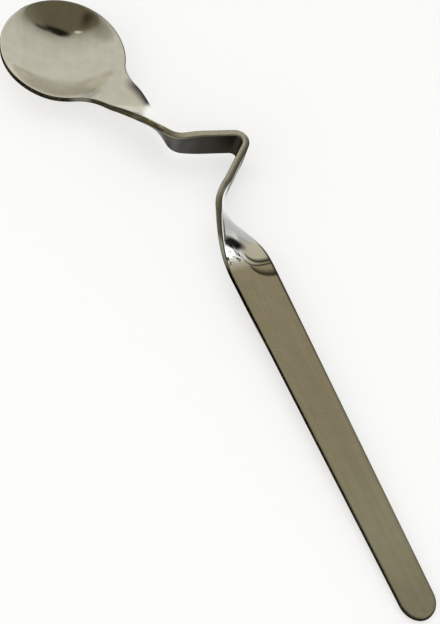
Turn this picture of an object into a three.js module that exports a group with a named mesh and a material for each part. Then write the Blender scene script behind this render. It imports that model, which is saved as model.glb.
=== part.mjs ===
// Honey spoon that hangs on the rim of a jar, formed from one strip of stainless sheet.
// The flat blank has its bowl pressed, its neck twisted on edge, the strip folded into a hook,
// and a second twist that lays the handle flat again. Each zone of the strip is a closed solid
// that meets the next one face to face, on a section square to the strip's centreline.
// Millimetres, +Z up. The spoon lies as on a table, with its handle towards +X.

import * as THREE from "three";

// Sheet
const sheetThickness = 1.8;

// Bowl, a round dish whose wall fades into the rim and the neck over rimBlend. Towards the neck its
// outline is fuller, on a radius that is longer by neckSideFullness
const bowlDiameter = 32;
const neckSideFullness = 2;
const bowlDepth = 6;
const rimBlend = 0.65;

// Widths of the blank, from the bowl to the end of the handle
const neckWidth = 11.6;
const neckFilletRadius = 9;
const stripWidth = 8;
const handleWidth = 11.5;
const handleEndWidth = 8.7;
const handleEndLength = 5;
const shoulderFlareLength = 9;

// Lengths of the centreline between the corners of its bends
const bowlToShelfLength = 40.3;
const shelfLength = 19.5;
const returnLength = 21.6;
const handleLength = 116.3;

// Directions of those lengths, in degrees anticlockwise from the handle seen from above
const bowlAngle = 23;
const shelfAngle = 76.5;
const returnAngle = -46;
const handleAngle = 0;

// Bend radii on the centreline
const neckBendRadius = 4.8;
const hookBendRadius = 2.5;
const shoulderBendRadius = 10;

// Rise of the neck from the level of the bowl's rim to that of the handle
const neckRise = 2.5;
const neckRiseStart = 8;
const neckRiseLength = 19;

// Quarter-turn twists, which start gently, turn steadily and end gently
const neckTwistInset = 0.5;
const neckTwistLength = 32;
const shoulderTwistLead = 1.8;
const shoulderTwistLength = 27;
const twistEaseShare = 0.25;

// Facets
const bowlFacetsAcross = 16;
const twistFacetsAcross = 8;
const flatFacetsAcross = 1;
const roundFacetAngle = 7;
const twistFacetLength = 1.4;
const bendFacetLength = 0.7;

// Rounds of the search for the table that the spoon lies on
const tableSearches = 4;

const UP = new THREE.Vector3(0, 0, 1);
const { degToRad, smoothstep } = THREE.MathUtils;
const bowlRadius = bowlDiameter / 2;

// Straight runs and arcs of the centreline, starting at the centre of the bowl
function centrelineRuns() {
  const legs = [
    { length: bowlToShelfLength, angle: bowlAngle },
    { length: shelfLength, angle: shelfAngle },
    { length: returnLength, angle: returnAngle },
    { length: handleLength, angle: handleAngle },
  ];
  const radii = [neckBendRadius, hookBendRadius, shoulderBendRadius];
  const turns = radii.map((_, i) => degToRad(legs[i + 1].angle - legs[i].angle));
  const setbacks = radii.map((radius, i) => radius * Math.tan(Math.abs(turns[i]) / 2));
  const runs = [];
  legs.forEach((leg, i) => {
    const straight = leg.length - (setbacks[i - 1] ?? 0) - (setbacks[i] ?? 0);
    runs.push({ length: straight, turn: 0 });
    if (i < radii.length) {
      runs.push({ length: radii[i] * Math.abs(turns[i]), turn: turns[i] });
    }
  });
  return runs;
}

const runs = centrelineRuns();
const runEnds = runs.map((_, i) => runs.slice(0, i + 1).reduce((sum, run) => sum + run.length, 0));
const returnEnd = runEnds.at(-3);
const roundStart = runEnds.at(-1) - handleEndLength;

// Place and direction of the centreline at the distance s from the centre of the bowl
function centreline(s) {
  const point = new THREE.Vector3();
  let heading = degToRad(bowlAngle);
  let left = s;
  for (const run of runs) {
    const last = run === runs.at(-1);
    const step = last ? left : Math.min(left, run.length);
    if (run.turn === 0) {
      point.add(new THREE.Vector3(Math.cos(heading), Math.sin(heading), 0).multiplyScalar(step));
    } else {
      const radius = run.length / run.turn;
      const next = heading + step / radius;
      point.x += radius * (Math.sin(next) - Math.sin(heading));
      point.y -= radius * (Math.cos(next) - Math.cos(heading));
      heading = next;
    }
    left -= step;
    if (left <= 0) {
      break;
    }
  }
  point.z = neckRise * smoothstep(s, neckRiseStart, neckRiseStart + neckRiseLength);
  return { point, heading };
}

// Fillet arc from the fuller side of the bowl's outline to the neck's edge
const fullRadius = bowlRadius + neckSideFullness;
const filletHeight = neckWidth / 2 + neckFilletRadius;
const filletCentre = Math.sqrt((fullRadius + neckFilletRadius) ** 2 - (filletHeight + neckSideFullness) ** 2);
const filletStart = filletCentre * fullRadius / (fullRadius + neckFilletRadius);
const neckStart = filletCentre;

const neckTwistStart = bowlRadius - neckTwistInset;
const neckTwistEnd = neckTwistStart + neckTwistLength;
const shoulderTwistStart = returnEnd - shoulderTwistLead;
const shoulderTwistEnd = shoulderTwistStart + shoulderTwistLength;

// Half of the blank's width at s
function halfWidth(s) {
  if (s < 0) {
    return Math.sqrt(Math.max(bowlRadius ** 2 - s ** 2, 0));
  }
  if (s < filletStart) {
    return Math.sqrt(fullRadius ** 2 - s ** 2) - neckSideFullness;
  }
  if (s < neckStart) {
    return filletHeight - Math.sqrt(neckFilletRadius ** 2 - (filletCentre - s) ** 2);
  }
  if (s > roundStart) {
    const share = Math.min((s - roundStart) / handleEndLength, 1);
    return handleEndWidth / 2 * Math.sqrt(1 - share ** 2);
  }
  const narrowing = smoothstep(s, neckStart, bowlToShelfLength);
  const flaring = smoothstep(s, shoulderTwistStart, shoulderTwistStart + shoulderFlareLength);
  const taper = Math.max(s - shoulderTwistEnd, 0) / (roundStart - shoulderTwistEnd);
  const strip = neckWidth + (stripWidth - neckWidth) * narrowing;
  const handle = (handleWidth - stripWidth) * flaring + (handleEndWidth - handleWidth) * taper;
  return (strip + handle) / 2;
}

// Share of a twist that is done at s, from 0 to 1
function twistShare(s, start, length) {
  const x = THREE.MathUtils.clamp((s - start) / length, 0, 1);
  const steady = 1 / (1 - twistEaseShare);
  const eased = (part) => steady * part ** 2 / (2 * twistEaseShare);
  if (x < twistEaseShare) {
    return eased(x);
  }
  if (x > 1 - twistEaseShare) {
    return 1 - eased(1 - x);
  }
  return steady * (x - twistEaseShare / 2);
}

// Angle of the strip about its centreline: flat is 0 and on edge is a quarter turn
function twistAngle(s) {
  const raised = twistShare(s, neckTwistStart, neckTwistLength);
  const lowered = twistShare(s, shoulderTwistStart, shoulderTwistLength);
  return (raised - lowered) * Math.PI / 2;
}

// Depth of the pressed dish at s along the bowl's axis and reach beside it
function dishDepth(s, reach) {
  const blend = 2 * rimBlend / bowlRadius;
  const fade = (x) => blend * Math.log1p(Math.exp(x / blend));
  const inside = 1 - (s ** 2 + reach ** 2) / bowlRadius ** 2;
  return bowlDepth * fade(inside) / fade(1);
}

// Point of the formed sheet: across goes from -1, the right edge, to 1, the left edge,
// and through from -1, the back, to 1, the face that the bowl opens to
function formedPoint(s, across, through) {
  const { point, heading } = centreline(s);
  const turn = twistAngle(s);
  const leftward = new THREE.Vector3(-Math.sin(heading), Math.cos(heading), 0);
  const alongWidth = leftward.clone().multiplyScalar(Math.cos(turn)).addScaledVector(UP, -Math.sin(turn));
  const alongFace = leftward.clone().multiplyScalar(Math.sin(turn)).addScaledVector(UP, Math.cos(turn));
  const reach = across * halfWidth(s);
  const rise = through * sheetThickness / 2 - dishDepth(s, reach);
  return point.addScaledVector(alongWidth, reach).addScaledVector(alongFace, rise);
}

// Stations along s
function evenStations(start, end, facetLength) {
  const count = Math.max(1, Math.ceil((end - start) / facetLength));
  return Array.from({ length: count + 1 }, (_, i) => start + (end - start) * i / count);
}

function bowlStations() {
  const facetAngle = degToRad(roundFacetAngle);
  const lastAngle = Math.PI - Math.acos(filletStart / bowlRadius);
  const angles = evenStations(facetAngle / 2, lastAngle, facetAngle);
  const round = angles.map((angle) => -bowlRadius * Math.cos(angle));
  return [...round, ...evenStations(filletStart, neckStart, twistFacetLength).slice(1)];
}

function hookStations() {
  const bends = runs.flatMap((run, i) => (
    run.turn === 0 ? [] : evenStations(runEnds[i] - run.length, runEnds[i], bendFacetLength)
  ));
  const inside = bends.filter((s) => s > neckTwistEnd && s < shoulderTwistStart);
  return [neckTwistEnd, ...inside, shoulderTwistStart];
}

function handleStations() {
  const facetAngle = 2 * degToRad(roundFacetAngle);
  const angles = evenStations(0, (Math.PI - facetAngle) / 2, facetAngle);
  const round = angles.map((angle) => roundStart + handleEndLength * Math.sin(angle));
  return [shoulderTwistEnd, ...round];
}

// One zone of the sheet: a flat block with a row of facets per station, formed to shape
function formedZone(name, stations, facetsAcross, finish) {
  const geometry = new THREE.BoxGeometry(1, 1, 1, stations.length - 1, facetsAcross, 1);
  const places = geometry.attributes.position;
  for (let i = 0; i < places.count; i += 1) {
    const station = Math.round((places.getX(i) + 0.5) * (stations.length - 1));
    const formed = formedPoint(stations[station], 2 * places.getY(i), 2 * places.getZ(i));
    places.setXYZ(i, formed.x, formed.y, formed.z);
  }
  geometry.computeVertexNormals();
  const mesh = new THREE.Mesh(geometry, new THREE.MeshStandardMaterial({ metalness: 1, ...finish }));
  mesh.name = name;
  return mesh;
}

const polished = { color: 0xb9b4a5, roughness: 0.18 };
const edged = { color: 0xaaa08c, roughness: 0.25 };
const satin = { color: 0x82785f, roughness: 0.35 };

const neckStations = evenStations(neckStart, neckTwistEnd, twistFacetLength);
const shoulderStations = evenStations(shoulderTwistStart, shoulderTwistEnd, twistFacetLength);

const formed = new THREE.Group();
formed.add(
  formedZone("bowl", bowlStations(), bowlFacetsAcross, polished),
  formedZone("neck", neckStations, twistFacetsAcross, edged),
  formedZone("rim_hook", hookStations(), flatFacetsAcross, edged),
  formedZone("shoulder", shoulderStations, twistFacetsAcross, edged),
  formedZone("handle", handleStations(), flatFacetsAcross, satin),
);

// Upward direction of a table that touches the bowl at its foot, the lower edge of the strip and
// the end of the handle, with no point of those edges below it
function tableUp(foot) {
  const touch = 1e-6;
  const underStrip = [...hookStations(), ...shoulderStations].map((s) => formedPoint(s, 1, -1));
  const underEnd = handleStations().map((s) => formedPoint(s, 1, -1));
  const table = new THREE.Plane();
  for (const edge of underStrip) {
    for (const end of underEnd) {
      table.setFromCoplanarPoints(foot, end, edge);
      if ([...underStrip, ...underEnd].every((point) => table.distanceToPoint(point) > -touch)) {
        return table.normal;
      }
    }
  }
  return UP;
}

// The bowl's foot is the lowest point of its underside, which moves as the spoon tilts
function bowlFoot(up) {
  const across = evenStations(-1, 1, 2 / bowlFacetsAcross);
  const underside = bowlStations().flatMap((s) => across.map((side) => formedPoint(s, side, -1)));
  return underside.reduce((low, point) => (point.dot(up) < low.dot(up) ? point : low));
}

let up = UP;
for (let search = 0; search < tableSearches; search += 1) {
  up = tableUp(bowlFoot(up));
}
formed.quaternion.setFromUnitVectors(up, UP);

const spoon = new THREE.Group();
spoon.add(formed);
spoon.updateMatrixWorld(true);
const box = new THREE.Box3().setFromObject(spoon, true);
const middle = box.getCenter(new THREE.Vector3());
formed.position.set(-middle.x, -middle.y, -box.min.z);

export default spoon;
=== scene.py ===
import math

import bmesh
import bpy
from mathutils import Euler, Matrix, Quaternion, Vector


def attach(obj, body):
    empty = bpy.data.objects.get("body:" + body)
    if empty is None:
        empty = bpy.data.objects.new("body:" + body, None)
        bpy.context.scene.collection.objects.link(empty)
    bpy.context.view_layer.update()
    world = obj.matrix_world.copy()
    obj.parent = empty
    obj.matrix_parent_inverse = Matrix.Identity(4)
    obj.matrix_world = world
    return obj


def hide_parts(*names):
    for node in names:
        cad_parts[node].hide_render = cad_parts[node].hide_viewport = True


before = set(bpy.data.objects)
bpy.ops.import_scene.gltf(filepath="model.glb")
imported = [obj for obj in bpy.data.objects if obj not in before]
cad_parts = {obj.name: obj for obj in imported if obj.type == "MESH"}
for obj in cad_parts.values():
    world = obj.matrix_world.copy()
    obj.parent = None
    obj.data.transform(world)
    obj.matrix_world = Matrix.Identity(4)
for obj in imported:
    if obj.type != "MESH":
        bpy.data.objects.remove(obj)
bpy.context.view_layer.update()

# Honey spoon, one blank of stainless sheet about 1.8 mm thick, cut flat and tumbled so that its
# edges are round. The bowl is pressed, the neck is twisted on edge, the strip is folded into the
# hook that hangs on a jar's rim, and a second twist lays the handle flat. Sizes in millimetres.
MM = 0.001

sheet_thickness = 1.8
edge_round = 0.34
edge_steps = 5
edge_land = 0.06

bowl_radius = 16.0
bowl_depth = 6.0
neck_side_fullness = 2.0
rim_blend = 0.65
neck_width = 11.6
neck_fillet = 9.0
strip_width = 8.0
handle_width = 11.5
handle_end_width = 8.7
handle_end_length = 5.0
shoulder_flare = 9.0

leg_lengths = (40.3, 19.5, 21.6, 116.3)
leg_angles = (23.0, 76.5, -46.0, 0.0)
bend_radii = (4.8, 2.5, 10.0)

neck_rise = 2.5
neck_rise_start = 8.0
neck_rise_length = 19.0

neck_twist_inset = 0.5
neck_twist_length = 32.0
shoulder_twist_lead = 1.8
shoulder_twist_length = 27.0
twist_ease = 0.25

# The strip's centreline is straight legs and arcs, each kept as its length and the angle it turns
turns = [math.radians(b - a) for a, b in zip(leg_angles, leg_angles[1:])]
setbacks = [r * math.tan(abs(t) / 2) for r, t in zip(bend_radii, turns)]
runs = []
for i, leg in enumerate(leg_lengths):
    before = setbacks[i - 1] if i > 0 else 0.0
    after = setbacks[i] if i < len(setbacks) else 0.0
    runs.append((leg - before - after, 0.0))
    if i < len(turns):
        runs.append((bend_radii[i] * abs(turns[i]), turns[i]))
spoon_end = sum(length for length, turn in runs)
return_end = sum(length for length, turn in runs[:-2])

full_radius = bowl_radius + neck_side_fullness
fillet_height = neck_width / 2 + neck_fillet
neck_start = math.sqrt((full_radius + neck_fillet) ** 2 - (fillet_height + neck_side_fullness) ** 2)
fillet_start = neck_start * full_radius / (full_radius + neck_fillet)
neck_twist_start = bowl_radius - neck_twist_inset
shoulder_start = return_end - shoulder_twist_lead
shoulder_end = shoulder_start + shoulder_twist_length
end_start = spoon_end - handle_end_length


def smooth_step(x, low, high):
    """Share of the way from low to high, eased at both ends."""
    share = min(max((x - low) / (high - low), 0.0), 1.0)
    return share * share * (3 - 2 * share)


def half_width(s):
    """Half of the flat blank's width, at s along its centreline from the middle of the bowl."""
    if s < 0.0:
        return math.sqrt(max(bowl_radius**2 - s**2, 0.0))
    if s < fillet_start:
        return math.sqrt(full_radius**2 - s**2) - neck_side_fullness
    if s < neck_start:
        return fillet_height - math.sqrt(neck_fillet**2 - (neck_start - s) ** 2)
    if s > end_start:
        share = min((s - end_start) / handle_end_length, 1.0)
        return handle_end_width / 2 * math.sqrt(1 - share**2)
    narrowing = smooth_step(s, neck_start, leg_lengths[0])
    flaring = smooth_step(s, shoulder_start, shoulder_start + shoulder_flare)
    taper = max(s - shoulder_end, 0.0) / (end_start - shoulder_end)
    width = neck_width + (strip_width - neck_width) * narrowing
    width += (handle_width - strip_width) * flaring + (handle_end_width - handle_width) * taper
    return width / 2


def spread(low, high, step):
    """Even places from low to high, at most a step apart."""
    count = max(1, math.ceil((high - low) / step))
    return [low + (high - low) * i / count for i in range(count + 1)]


# Cut the blank: a grid whose columns lie where the outline curves, inside the rounded edge
bowl_step = math.radians(2)
end_step = math.radians(5)
strip_step = 0.5
handle_step = 2.0
squares_across = 48
weld = 1e-4
bowl_arc = spread(0.0, math.pi - math.acos(fillet_start / bowl_radius), bowl_step)
end_arc = spread(0.0, math.pi / 2, end_step)
columns = [-bowl_radius * math.cos(angle) for angle in bowl_arc]
columns += spread(fillet_start, shoulder_end, strip_step)[1:]
columns += spread(shoulder_end, end_start, handle_step)[1:]
columns += [end_start + handle_end_length * math.sin(angle) for angle in end_arc[1:]]
outline = [Vector((s, half_width(s))) for s in columns]
outwards = [Vector((-1.0, 0.0))]
for before, after in zip(outline, outline[2:]):
    onward = (after - before).normalized()
    outwards.append(Vector((-onward.y, onward.x)))
outwards.append(Vector((1.0, 0.0)))

blank = bmesh.new()
outward_layer = blank.verts.layers.float_vector.new("outward")
edge_layer = blank.verts.layers.float.new("cut_edge")
inset_layer = blank.verts.layers.float.new("inset")
bmesh.ops.create_grid(blank, x_segments=len(columns) - 1, y_segments=squares_across, size=1.0)
for v in blank.verts:
    column = round((v.co.x + 1) / 2 * (len(columns) - 1))
    across = v.co.y
    outward = outwards[column]
    inside = outline[column] - outward * (edge_round + edge_land)
    v.co = (inside.x, across * max(inside.y, 0.0), sheet_thickness / 2)
    v[outward_layer] = (outward.x, math.copysign(outward.y, across), 0.0)
    v[inset_layer] = (1 - abs(across)) * inside.y
bmesh.ops.remove_doubles(blank, verts=blank.verts[:], dist=weld)

# Tumble the edge: the rim of the grid goes outwards and down round a quarter circle, then down
# to the middle of the sheet, and the back of the blank is the mirror image of its face
quarter = [math.pi / 2 * i / edge_steps for i in range(1, edge_steps + 1)]
profile = [(edge_land, 0.0)]
profile += [
    (edge_land + edge_round * math.sin(a), edge_round * (1 - math.cos(a))) for a in quarter
]
profile.append((edge_land + edge_round, sheet_thickness / 2))
reached = (0.0, 0.0)
rim = [e for e in blank.edges if e.is_boundary]
for out, down in profile:
    made = bmesh.ops.extrude_edge_only(blank, edges=rim)["geom"]
    rim = [e for e in made if isinstance(e, bmesh.types.BMEdge) and e.is_boundary]
    for v in {v for e in rim for v in e.verts}:
        v.co += v[outward_layer] * (out - reached[0])
        v.co.z -= down - reached[1]
        v[edge_layer] = min(down / edge_round, 1.0)
    reached = (out, down)
bmesh.ops.mirror(
    blank,
    geom=blank.verts[:] + blank.edges[:] + blank.faces[:],
    matrix=Matrix.Identity(4),
    merge_dist=weld,
    axis="Z",
)
bmesh.ops.recalc_face_normals(blank, faces=blank.faces[:])


def centreline(s):
    """Place and heading of the strip's centreline at s."""
    x, y, heading, to_go = 0.0, 0.0, math.radians(leg_angles[0]), s
    for i, (length, turn) in enumerate(runs):
        step = to_go if i == len(runs) - 1 else min(to_go, length)
        if turn == 0.0:
            x += step * math.cos(heading)
            y += step * math.sin(heading)
        else:
            radius = length / turn
            onward = heading + step / radius
            x += radius * (math.sin(onward) - math.sin(heading))
            y -= radius * (math.cos(onward) - math.cos(heading))
            heading = onward
        to_go -= step
        if to_go <= 0.0:
            break
    z = neck_rise * smooth_step(s, neck_rise_start, neck_rise_start + neck_rise_length)
    return Vector((x, y, z)), heading


def twist_share(s, start, length):
    """Share of a twist that is done at s, with a soft start and end."""
    x = min(max((s - start) / length, 0.0), 1.0)
    steady = 1 / (1 - twist_ease)
    if x < twist_ease:
        return steady * x**2 / (2 * twist_ease)
    if x > 1 - twist_ease:
        return 1 - steady * (1 - x) ** 2 / (2 * twist_ease)
    return steady * (x - twist_ease / 2)


def dish(s, reach):
    """How deep the bowl's press pushes the sheet at s and reach, fading over the rim."""
    blend = 2 * rim_blend / bowl_radius
    inside = 1 - (s**2 + reach**2) / bowl_radius**2
    return bowl_depth * math.log1p(math.exp(inside / blend)) / math.log1p(math.exp(1 / blend))


# Form the blank: press, twist and fold it, then lay it down as it rests on a table
lying = Quaternion((0.9992641843, -0.0323520954, 0.0206017437, 0.0))
lies_at = Vector((-78.4239113, -8.6805758, 6.9063929))
up = Vector((0.0, 0.0, 1.0))
blank_layer = blank.verts.layers.float_vector.new("blank")
for v in blank.verts:
    s, reach, rise = v.co
    v[blank_layer] = v.co
    place, heading = centreline(s)
    turned = twist_share(s, neck_twist_start, neck_twist_length)
    turned -= twist_share(s, shoulder_start, shoulder_twist_length)
    angle = turned * math.pi / 2
    leftwards = Vector((-math.sin(heading), math.cos(heading), 0.0))
    width_way = leftwards * math.cos(angle) - up * math.sin(angle)
    face_way = leftwards * math.sin(angle) + up * math.cos(angle)
    place += width_way * reach + face_way * (rise - dish(s, reach))
    v.co = (lying @ place + lies_at) * MM
spoon_mesh = bpy.data.meshes.new("spoon")
blank.to_mesh(spoon_mesh)
blank.free()
spoon_mesh.shade_smooth()
spoon = bpy.data.objects.new("spoon", spoon_mesh)
bpy.context.collection.objects.link(spoon)

# The steel is polished in the bowl and on the twists, dull on the hook and rubbed along the handle, and
# much of the light and shade it mirrors is painted into its colour. Its tones lie on the flat blank, in
# millimetres: along it from the middle of the bowl, reach across it to the left of the way to the
# handle, and rise through the sheet from its back to its face.
white = (1.0, 1.0, 1.0)
steel = bpy.data.materials.new("stainless_sheet")
steel.use_nodes = True
tree = steel.node_tree
shader = tree.nodes["Principled BSDF"]
shader.inputs["Metallic"].default_value = 1.0


def node(kind, links=(), values=(), **settings):
    """New node in the tree in hand, with its links, values and settings."""
    made = tree.nodes.new(kind)
    for name, value in settings.items():
        setattr(made, name, value)
    for name, value in dict(values).items():
        made.inputs[name].default_value = value
    for name, source in dict(links).items():
        tree.links.new(source, made.inputs[name])
    return made


def maths(operation, *terms):
    """Arithmetic on sockets and plain numbers."""
    made = node("ShaderNodeMath", operation=operation)
    for slot, term in zip(made.inputs, terms):
        if isinstance(term, (int, float)):
            slot.default_value = term
        else:
            tree.links.new(term, slot)
    return made.outputs["Value"]


def remap(value, low, high, to_low, to_high):
    """Value that goes from to_low to to_high, eased, while another goes from low to high."""
    limits = {"From Min": low, "From Max": high, "To Min": to_low, "To Max": to_high}
    made = node("ShaderNodeMapRange", {"Value": value}, limits, interpolation_type="SMOOTHSTEP")
    return made.outputs["Result"]


def ramp(value, stops):
    """Colour or grey along a value, from a list of (value, colour) stops."""
    low, high = stops[0][0], stops[-1][0]
    share = node("ShaderNodeMapRange", {"Value": value}, {"From Min": low, "From Max": high})
    made = node("ShaderNodeValToRGB", {"Fac": share.outputs["Result"]})
    made.color_ramp.interpolation = "EASE"
    points = made.color_ramp.elements
    while len(points) < len(stops):
        points.new(0.5)
    for point, (at, colour) in zip(points, stops):
        point.position = (at - low) / (high - low)
        point.color = (*colour, 1.0) if isinstance(colour, tuple) else (colour, colour, colour, 1.0)
    return made.outputs["Color"]


def zone(value, start, full, fading, end, share=1.0):
    """Mask that rises from start to full and falls from fading to end."""
    return ramp(value, [(start, 0.0), (full, share), (fading, share), (end, 0.0)])


def overlap(*masks):
    """Mask where all the given masks are."""
    shared = masks[0]
    for mask in masks[1:]:
        shared = maths("MULTIPLY", shared, mask)
    return shared


def mix(share, a, b, blend="MIX"):
    """Blend of two colours, each a socket or a plain colour."""
    made = node("ShaderNodeMix", data_type="RGBA", blend_type=blend)
    slots = {slot.identifier: slot for slot in (*made.inputs, *made.outputs)}
    for name, term in (("Factor_Float", share), ("A_Color", a), ("B_Color", b)):
        if isinstance(term, (int, float)):
            slots[name].default_value = term
        elif isinstance(term, tuple):
            slots[name].default_value = (*term, 1.0)
        else:
            tree.links.new(term, slots[name])
    return slots["Result_Color"]


def shade(colour, mask, factor):
    """Colour made lighter or darker by a factor where the mask is."""
    return mix(mask, colour, mix(1.0, colour, factor, "MULTIPLY"))


on_blank = node("ShaderNodeAttribute", attribute_name="blank").outputs["Vector"]
place = node("ShaderNodeSeparateXYZ", {"Vector": on_blank})
along, reach, rise = place.outputs["X"], place.outputs["Y"], place.outputs["Z"]
cut = node("ShaderNodeAttribute", attribute_name="cut_edge").outputs["Fac"]
inset = node("ShaderNodeAttribute", attribute_name="inset").outputs["Fac"]


def grain(size, turn=0.0, detail=2.0):
    """Noise on the flat blank, with grains of a size in millimetres and turned by some degrees."""
    laid = node(
        "ShaderNodeMapping",
        {"Vector": on_blank},
        {"Scale": size, "Rotation": (0.0, 0.0, math.radians(turn))},
        vector_type="TEXTURE",
    )
    noise = node(
        "ShaderNodeTexNoise",
        {"Vector": laid.outputs["Vector"]},
        {"Scale": 1.0, "Detail": detail},
    )
    return noise.outputs["Fac"]


# Tones of the faces from the bowl to the end of the handle, much of them painted light and shade: the
# near-white twists are a painted reflection of the white floor, the dark hook and fold are painted
# shade, the grey and beige of the shoulder are painted reflections, and the handle's brown is satin
# steel darkened by a painted reflection of a brown room. The painted white of the neck's twist starts
# later on its right side.
bowl_steel = (0.60, 0.575, 0.49)
neck_steel = (0.60, 0.565, 0.465)
floor_white_steel = (0.97, 0.97, 0.97)
shaded_hook_steel = (0.125, 0.12, 0.112)
shaded_bend_steel = (0.066, 0.061, 0.049)
shoulder_steel = (0.44, 0.437, 0.428)
turned_steel = (0.52, 0.48, 0.38)
handle_steel = (0.290, 0.247, 0.162)
slant = overlap(remap(reach, -5.0, 4.0, -3.0, 0.0), remap(along, 33.0, 40.0, 1.0, 0.0))
face = ramp(
    maths("ADD", along, slant),
    [
        (18.0, bowl_steel),
        (23.0, neck_steel),
        (26.5, neck_steel),
        (28.5, floor_white_steel),
        (32.5, floor_white_steel),
        (36.5, shaded_hook_steel),
        (43.0, shaded_hook_steel),
        (53.0, shaded_bend_steel),
        (61.0, shaded_bend_steel),
        (65.0, floor_white_steel),
        (80.0, floor_white_steel),
        (84.5, shoulder_steel),
        (88.5, shoulder_steel),
        (91.0, turned_steel),
        (95.0, turned_steel),
        (97.8, handle_steel),
        (140.0, handle_steel),
        (172.0, (0.300, 0.276, 0.183)),
        (192.0, (0.257, 0.229, 0.154)),
    ],
)

# Painted shade on the hook's back, the side that rests on a jar's rim, darkest where the neck turns
# into the shelf
shelf_shadow = (0.07, 0.067, 0.062)
hook_back_shade = ramp(
    along,
    [
        (33.0, (0.24, 0.23, 0.21)),
        (35.5, shelf_shadow),
        (36.5, shelf_shadow),
        (38.0, (0.22, 0.212, 0.20)),
        (39.5, (0.23, 0.222, 0.21)),
        (42.0, (0.125, 0.121, 0.114)),
        (47.0, (0.07, 0.066, 0.057)),
        (53.0, shaded_bend_steel),
    ],
)
behind = overlap(
    remap(rise, -0.2, 0.2, 1.0, 0.0),
    remap(along, 28.0, 32.0, 0.0, 1.0),
    remap(along, 70.0, 76.0, 1.0, 0.0),
)
face = mix(behind, face, hook_back_shade)

# Polishing marks: a mottle all over, rubbing along the handle and streaks across the bowl
in_bowl = remap(along, 15.0, 21.0, 1.0, 0.0)
on_handle = remap(along, 96.0, 104.0, 0.0, 1.0)
mottle = grain((3.0, 2.5, 2.0), detail=3.0)
rub = grain((30.0, 0.45, 2.0))
streak = grain((12.0, 0.7, 2.0), turn=-40.0)
face = shade(face, 1.0, remap(mottle, 0.3, 0.7, 0.96, 1.04))
face = shade(face, on_handle, remap(rub, 0.3, 0.7, 0.95, 1.05))
face = shade(face, in_bowl, remap(streak, 0.3, 0.7, 0.98, 1.02))

# Painted light and shade in the bowl: lighter where it runs into the neck and on its right rim, and
# darker to the neck's right
lighter = (1.28, 1.28, 1.28)
darker = (0.70, 0.70, 0.70)
by_neck = overlap(zone(along, 10.3, 12.0, 14.2, 16.5), zone(reach, -4.5, -1.0, 2.5, 5.0))
by_rim = ramp(along, [(-6.5, 0.0), (-3.0, 0.7), (-1.2, 1.0), (0.8, 0.6), (2.4, 0.0)])
by_rim = overlap(by_rim, remap(reach, -12.3, -10.3, 1.0, 0.0))
beside_neck = ramp(reach, [(-8.5, 0.0), (-6.2, 0.9), (-4.0, 1.0), (-1.2, 0.0)])
beside_neck = overlap(zone(along, 13.4, 15.0, 16.2, 17.6), beside_neck)
face = shade(face, maths("MAXIMUM", by_neck, by_rim), lighter)
face = shade(face, beside_neck, darker)

# Scratches and specks of use on the handle
worn_steel = (0.55, 0.52, 0.43)
scratch = remap(grain((6.0, 0.16, 2.0), turn=65.0, detail=0.0), 0.80, 0.86, 0.0, 0.4)
speck = remap(grain((0.35, 0.35, 2.0), detail=0.0), 0.83, 0.88, 0.0, 0.5)
face = mix(overlap(on_handle, maths("MAXIMUM", scratch, speck)), face, worn_steel)


def reflection_line(start, beside, run, curl, before, after, depth):
    """Painted dark reflection line, which starts beside the strip's middle and curls to its left edge.
    """
    past = maths("SUBTRACT", reach, beside)
    curve = maths("SUBTRACT", 1.0, maths("EXPONENT", maths("DIVIDE", past, -curl)))
    off = maths("SUBTRACT", along, maths("MULTIPLY_ADD", curve, run, start))
    begun = remap(past, -0.7, 0.2, 0.0, depth)
    return overlap(ramp(off, [(-before, 0.0), (0.0, 1.0), (after, 0.0)]), begun)


# Painted light on the shoulder: a painted highlight on its glossy right side, three painted dark
# reflection lines, and dark squiggly lines across the highlight
glint_white_steel = (0.88, 0.89, 0.88)
dark_line_tone = (0.03, 0.026, 0.016)
glossy = overlap(remap(reach, -1.2, 0.2, 1.0, 0.0), zone(along, 86.0, 89.0, 94.0, 95.5, 0.9))
face = mix(glossy, face, glint_white_steel)
first_reflection_line = reflection_line(93.9, -0.2, run=2.8, curl=1.2, before=1.4, after=0.6, depth=0.97)
second_reflection_line = reflection_line(94.3, -1.35, run=3.2, curl=1.2, before=0.5, after=0.5, depth=0.9)
third_reflection_line = reflection_line(97.8, 0.0, run=3.1, curl=1.7, before=2.2, after=0.9, depth=0.95)
reflection_lines = maths("MAXIMUM", maths("MAXIMUM", first_reflection_line, second_reflection_line), third_reflection_line)
# Dark squiggly lines across the painted highlight
squiggle = maths("SUBTRACT", grain((2.0, 1.0, 2.0), turn=35.0, detail=0.5), 0.5)
squiggles = overlap(
    ramp(along, [(88.0, 0.0), (90.0, 0.8), (92.5, 1.0), (95.0, 1.0), (96.0, 0.0)]),
    remap(reach, -1.8, -0.3, 1.0, 0.0),
    remap(maths("ABSOLUTE", squiggle), 0.012, 0.04, 0.95, 0.0),
)
dark_lines = maths("MAXIMUM", reflection_lines, squiggles)
face = mix(dark_lines, face, dark_line_tone)

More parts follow.
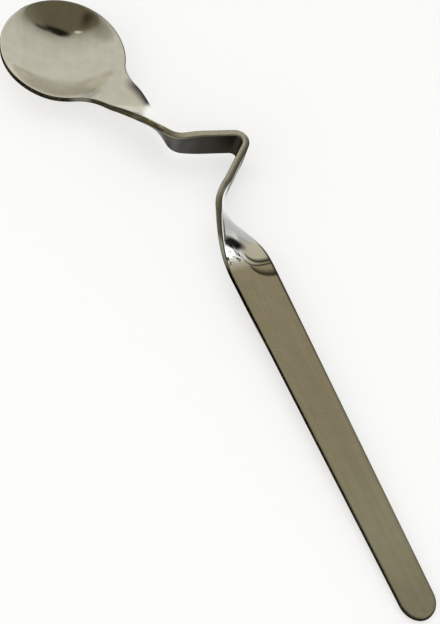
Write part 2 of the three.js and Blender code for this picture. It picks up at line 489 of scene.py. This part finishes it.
# Painted dark reflections beside the edges: lines left of the handle, right of the shoulder and left of
# the neck
line_tone = (0.03, 0.028, 0.024)
on_left = remap(reach, 0.0, 1.0, 0.0, 1.0)
handle_line = ramp(along, [(86.0, 0.0), (92.0, 0.9), (104.0, 0.8), (118.0, 0.45), (150.0, 0.2)])
handle_line = overlap(on_left, handle_line, remap(inset, 0.1, 0.5, 1.0, 0.0))
face = mix(handle_line, face, dark_line_tone)
shoulder_line = overlap(
    remap(reach, -1.0, 0.0, 1.0, 0.0),
    zone(along, 83.0, 85.5, 88.0, 89.5, 0.95),
    zone(inset, 0.1, 0.3, 0.55, 0.85),
)
face = mix(shoulder_line, face, line_tone)
neck_line = ramp(along, [(17.0, 0.0), (22.0, 0.9), (26.4, 1.0), (27.8, 0.0)])
neck_line = overlap(on_left, neck_line, remap(inset, 0.1, 3.6, 1.0, 0.0))
face = mix(neck_line, face, line_tone)

# Tones of the cut edge, with painted shade: dark where it would mirror the floor in the spoon's shadow,
# and pale on the hook's top, with a painted highlight by the neck's root. The lower half of the
# handle's edge is painted pale where it would mirror the white floor, and on the neck, the return of
# the hook and the shoulder one half is lighter than the other, painted light and shade by which way
# each half faces.
highlight_steel = (0.90, 0.90, 0.88)
neck_root_edge_highlight = (0.20, 0.19, 0.16)
shaded_handle_edge = (0.012, 0.011, 0.009)
speck_tone = (0.14, 0.127, 0.09)
edge = ramp(
    along,
    [
        (-6.0, (0.16, 0.145, 0.11)),
        (1.0, (0.022, 0.019, 0.012)),
        (12.8, (0.024, 0.021, 0.014)),
        (14.4, neck_root_edge_highlight),
        (16.0, neck_root_edge_highlight),
        (17.8, (0.035, 0.031, 0.02)),
        (28.0, (0.05, 0.045, 0.028)),
        (31.0, (0.25, 0.23, 0.165)),
        (33.0, (0.70, 0.66, 0.52)),
        (35.5, (0.80, 0.75, 0.60)),
        (37.2, (0.32, 0.29, 0.21)),
        (38.2, (0.24, 0.215, 0.15)),
        (42.0, (0.45, 0.41, 0.31)),
        (76.0, (0.42, 0.38, 0.29)),
        (80.0, (0.16, 0.145, 0.10)),
        (87.0, (0.11, 0.10, 0.075)),
        (89.5, (0.26, 0.25, 0.21)),
        (94.0, (0.24, 0.225, 0.18)),
        (97.0, shaded_handle_edge),
        (140.0, shaded_handle_edge),
        (156.0, (0.03, 0.027, 0.02)),
    ],
)
on_neck = zone(along, 28.5, 30.5, 36.0, 38.0)
edge = shade(edge, on_neck, remap(rise, -0.5, 0.4, 0.3, 1.25))
on_return = zone(along, 56.5, 59.5, 74.5, 79.5)
edge = shade(edge, on_return, remap(rise, -0.5, 0.35, 1.1, 0.3))
on_shoulder = zone(along, 74.0, 80.0, 88.0, 90.0)
edge = shade(edge, on_shoulder, remap(rise, -0.9, 0.9, 1.35, 0.5))
edge = mix(remap(grain((0.6, 0.4, 0.4)), 0.48, 0.66, 0.0, 0.5), edge, speck_tone)
painted_pale_edge = overlap(remap(along, 105.0, 122.0, 0.0, 1.0), remap(rise, -0.4, -0.1, 1.0, 0.0))
edge = mix(painted_pale_edge, edge, highlight_steel)

# Tones of the rounded corners between the faces and the cut edge: a painted highlight along them,
# brightest by the bowl and on the shoulder, with painted shade on the neck's back, the return's front
# and the left corners away from the shelf
hook_corner = (0.20, 0.18, 0.13)
return_corner = (0.40, 0.37, 0.28)
shaded_neck_back_corner = (0.05, 0.045, 0.03)
shaded_return_front_corner = (0.10, 0.09, 0.07)
shaded_left_corner = (0.06, 0.052, 0.035)
corner = ramp(
    along,
    [
        (4.0, (0.85, 0.82, 0.72)),
        (12.0, (0.66, 0.64, 0.56)),
        (26.0, (0.62, 0.60, 0.52)),
        (38.0, (0.30, 0.28, 0.21)),
        (44.0, hook_corner),
        (57.0, hook_corner),
        (61.0, return_corner),
        (76.0, return_corner),
        (80.0, (0.06, 0.055, 0.04)),
        (83.0, highlight_steel),
        (89.0, highlight_steel),
        (92.0, (0.30, 0.27, 0.20)),
        (100.0, (0.24, 0.21, 0.15)),
    ],
)
off_shelf = maths("MAXIMUM", remap(along, 26.8, 28.2, 1.0, 0.0), remap(along, 60.0, 64.0, 0.0, 1.0))
corner = mix(overlap(on_neck, remap(rise, -0.2, 0.2, 1.0, 0.0)), corner, shaded_neck_back_corner)
corner = mix(overlap(on_return, remap(rise, -0.2, 0.2, 0.0, 1.0)), corner, shaded_return_front_corner)
corner = mix(overlap(off_shelf, remap(reach, -1.0, 1.0, 0.0, 1.0)), corner, shaded_left_corner)
on_hook = overlap(remap(along, 34.0, 40.0, 0.0, 1.0), remap(along, 71.0, 77.0, 1.0, 0.0))
on_corner = remap(cut, 0.0, 0.05, 0.0, 1.0)
on_edge = mix(on_hook, remap(cut, 0.1, 0.4, 0.0, 1.0), remap(cut, 0.7, 0.98, 0.0, 1.0))
colour = mix(on_edge, mix(on_corner, face, corner), edge)
tree.links.new(colour, shader.inputs["Base Color"])

# Finish: rougher on the hook, most of all in its fold, on the handle and on the bowl's wall by the neck
rough = ramp(
    along,
    [
        (14.0, 0.09),
        (24.0, 0.09),
        (32.0, 0.12),
        (40.0, 0.30),
        (74.0, 0.30),
        (84.0, 0.08),
        (95.0, 0.08),
        (103.0, 0.27),
    ],
)
rough = maths("ADD", rough, remap(mottle, 0.3, 0.7, -0.02, 0.02))
in_fold = zone(along, 46.0, 54.0, 62.0, 70.0)
rough = maths("MULTIPLY_ADD", in_fold, remap(cut, 0.0, 0.3, 0.25, 0.0), rough)
wall_way = (0.66, -0.55)
up_wall = maths("MULTIPLY_ADD", along, wall_way[0], maths("MULTIPLY", reach, wall_way[1]))
rough = maths("MULTIPLY_ADD", in_bowl, remap(up_wall, 3.0, 9.0, 0.0, 0.22), rough)
tree.links.new(rough, shader.inputs["Roughness"])
waves = maths("SUBTRACT", maths("MULTIPLY", maths("ADD", rub, mottle), on_handle), dark_lines)
wave_height = 0.005 * MM
bump = node("ShaderNodeBump", {"Height": waves}, {"Strength": 1.0, "Distance": wave_height})
tree.links.new(bump.outputs["Normal"], shader.inputs["Normal"])
dull = maths("SUBTRACT", maths("MAXIMUM", on_edge, on_hook), painted_pale_edge)
dull_glare = (0.1, 0.1, 0.1)
tree.links.new(mix(dull, white, dull_glare), shader.inputs["Specular Tint"])
spoon_mesh.materials.append(steel)
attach(spoon, "root")
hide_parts("bowl", "neck", "rim_hook", "shoulder", "handle")

# Floor of the studio, a white matt board that the spoon lies on. The camera and the steel see it a
# little whiter than the lamps make it.
board_half_side = 6.0
board_grey = (0.45, 0.45, 0.45)
board_glow = 0.54
floor_mesh = bpy.data.meshes.new("floor")
board = bmesh.new()
bmesh.ops.create_grid(board, x_segments=1, y_segments=1, size=board_half_side)
board.to_mesh(floor_mesh)
board.free()
floor = bpy.data.objects.new("floor", floor_mesh)
bpy.context.collection.objects.link(floor)
matt = bpy.data.materials.new("floor_board")
matt.use_nodes = True
tree = matt.node_tree
paint = tree.nodes["Principled BSDF"]
paint.inputs["Base Color"].default_value = (*board_grey, 1.0)
paint.inputs["Roughness"].default_value = 1.0
paint.inputs["Specular IOR Level"].default_value = 0.0
paint.inputs["Emission Color"].default_value = (*white, 1.0)
path = node("ShaderNodeLightPath").outputs
mirrored = maths("MAXIMUM", path["Is Glossy Ray"], path["Is Transmission Ray"])
seen = maths("MAXIMUM", path["Is Camera Ray"], mirrored)
tree.links.new(maths("MULTIPLY", seen, board_glow), paint.inputs["Emission Strength"])
floor_mesh.materials.append(matt)

# Light of the studio: a white tent round the spoon and a brown panel in its roof, on the camera's side,
# which the bowl mirrors with the dark gaps beside it and a small lamp. The camera sees plain white.
world = bpy.data.worlds.new("studio")
bpy.context.scene.world = world
world.use_nodes = True
tree = world.node_tree
direction = node("ShaderNodeTexCoord").outputs["Generated"]


def oval(x, y, length, width, turn, core):
    """Soft oval on the roof seen from above, turned by some degrees and full in its core."""
    any_height = 100.0
    laid = node(
        "ShaderNodeMapping",
        {"Vector": direction},
        {
            "Location": (x, y, 0.0),
            "Scale": (length, width, any_height),
            "Rotation": (0.0, 0.0, math.radians(turn)),
        },
        vector_type="TEXTURE",
    )
    out = node("ShaderNodeVectorMath", {0: laid.outputs["Vector"]}, operation="LENGTH")
    return remap(out.outputs["Value"], core, 1.0, 1.0, 0.0)


tent = (0.80, 0.80, 0.757)
panel = (0.163, 0.144, 0.098)
gap = (0.012, 0.010, 0.006)
lamp = (1.1, 1.1, 1.0)
panel_way = math.radians(-20.0)
ahead = node(
    "ShaderNodeVectorMath",
    {0: direction},
    {1: (math.cos(panel_way), math.sin(panel_way), 0.0)},
    operation="DOT_PRODUCT",
).outputs["Value"]
on_panel = ramp(
    ahead,
    [
        (-0.60, 0.0),
        (-0.40, 0.05),
        (-0.22, 0.14),
        (-0.10, 0.29),
        (-0.03, 0.48),
        (0.10, 1.0),
        (0.50, 1.0),
        (0.65, 0.0),
    ],
)
light = mix(on_panel, tent, panel)
for tone, share, x, y, length, width, turn, core in (
    (tent, 0.15, 0.26, 0.70, 0.40, 0.40, 0.0, 0.0),
    (gap, 0.75, 0.12, -0.40, 0.20, 0.16, 0.0, 0.0),
    (panel, 0.45, -0.30, -0.50, 0.40, 0.16, 8.0, 0.0),
    (gap, 1.0, 0.135, 0.180, 0.33, 0.088, 60.5, 0.6),
    (gap, 1.0, 0.225, 0.44, 0.24, 0.045, 72.0, 0.3),
    (lamp, 1.0, -0.011, -0.202, 0.105, 0.028, 58.0, 0.4),
):
    light = mix(maths("MULTIPLY", oval(x, y, length, width, turn, core), share), light, tone)
height = node("ShaderNodeSeparateXYZ", {"Vector": direction}).outputs["Z"]
light = mix(remap(height, 0.35, 0.55, 1.0, 0.0), light, tent)
light = mix(node("ShaderNodeLightPath").outputs["Is Camera Ray"], light, white)
tree.links.new(light, tree.nodes["Background"].inputs["Color"])
tree.nodes["Background"].inputs["Strength"].default_value = 1.0

# Softboxes over the spoon and in front of it, which light the floor and are out of the steel's sight
for name, place, size, energy in (
    ("overhead", (0.0, 0.0, 1.5), 2.0, 9.0),
    ("front", (0.4, -1.1, 0.6), 1.2, 6.5),
):
    softbox = bpy.data.lights.new(name, "AREA")
    softbox.size = size
    softbox.energy = energy
    hung = bpy.data.objects.new(name, softbox)
    hung.location = place
    hung.rotation_euler = (-hung.location).to_track_quat("-Z", "Y").to_euler()
    hung.visible_glossy = False
    bpy.context.collection.objects.link(hung)

# Black felt flag beside the shoulder, which thins out towards its rim, and a small lamp next to it. The
# polished twist mirrors both, and nothing else sees them.
felt_black = (0.01, 0.01, 0.008)
flag_middle = Vector((-21.0, 90.0, 43.0))
flag_faces = Vector((-9.0, 8.2, 7.5))
flag_half_size = Vector((34.0, 27.0, 0.0))
flag_squares = 16
felt = bpy.data.materials.new("flag_felt")
felt.use_nodes = True
tree = felt.node_tree
pile = tree.nodes["Principled BSDF"]
pile.inputs["Base Color"].default_value = (*felt_black, 1.0)
pile.inputs["Roughness"].default_value = 1.0
pile.inputs["Specular IOR Level"].default_value = 0.0
from_middle = node("ShaderNodeAttribute", attribute_name="from_middle").outputs["Fac"]
tree.links.new(remap(from_middle, 0.50, 1.2, 1.0, 0.0), pile.inputs["Alpha"])
cloth = bmesh.new()
middle_layer = cloth.verts.layers.float.new("from_middle")
bmesh.ops.create_grid(cloth, x_segments=flag_squares, y_segments=flag_squares, size=1.0)
facing = (flag_faces - flag_middle).to_track_quat("Z", "Y")
for v in cloth.verts:
    v[middle_layer] = v.co.length
    v.co = (flag_middle + facing @ (v.co * flag_half_size)) * MM
flag_mesh = bpy.data.meshes.new("shoulder_flag")
cloth.to_mesh(flag_mesh)
cloth.free()
flag_mesh.materials.append(felt)
flag = bpy.data.objects.new("shoulder_flag", flag_mesh)
flag.visible_camera = False
flag.visible_diffuse = False
flag.visible_shadow = False
bpy.context.collection.objects.link(flag)

glint_faces = Vector((-6.0, 6.2, 7.5)) * MM
glint = bpy.data.lights.new("glint", "AREA")
glint.size = 0.04
glint.energy = 0.0005
glint.spread = math.radians(40)
hung = bpy.data.objects.new("glint", glint)
hung.location = Vector((4.0, 81.0, 67.0)) * MM
hung.rotation_euler = (glint_faces - hung.location).to_track_quat("-Z", "Y").to_euler()
hung.visible_diffuse = False
bpy.context.collection.objects.link(hung)

# Camera of the photograph. The focal length and the height of the picture are in pixels.
focal_length = 1800
photo_height = 624
camera_place = (0.1955078, -0.1401955, 0.3677443)
camera_angles = (31.9544290, -7.7014369, 65.7789305)
eye = bpy.data.cameras.new("camera")
eye.sensor_width = 36.0
eye.lens = focal_length / photo_height * eye.sensor_width
camera = bpy.data.objects.new("camera", eye)
camera.location = camera_place
camera.rotation_euler = Euler([math.radians(angle) for angle in camera_angles])
bpy.context.collection.objects.link(camera)
bpy.context.scene.camera = camera
bpy.context.scene.view_settings.view_transform = "Standard"
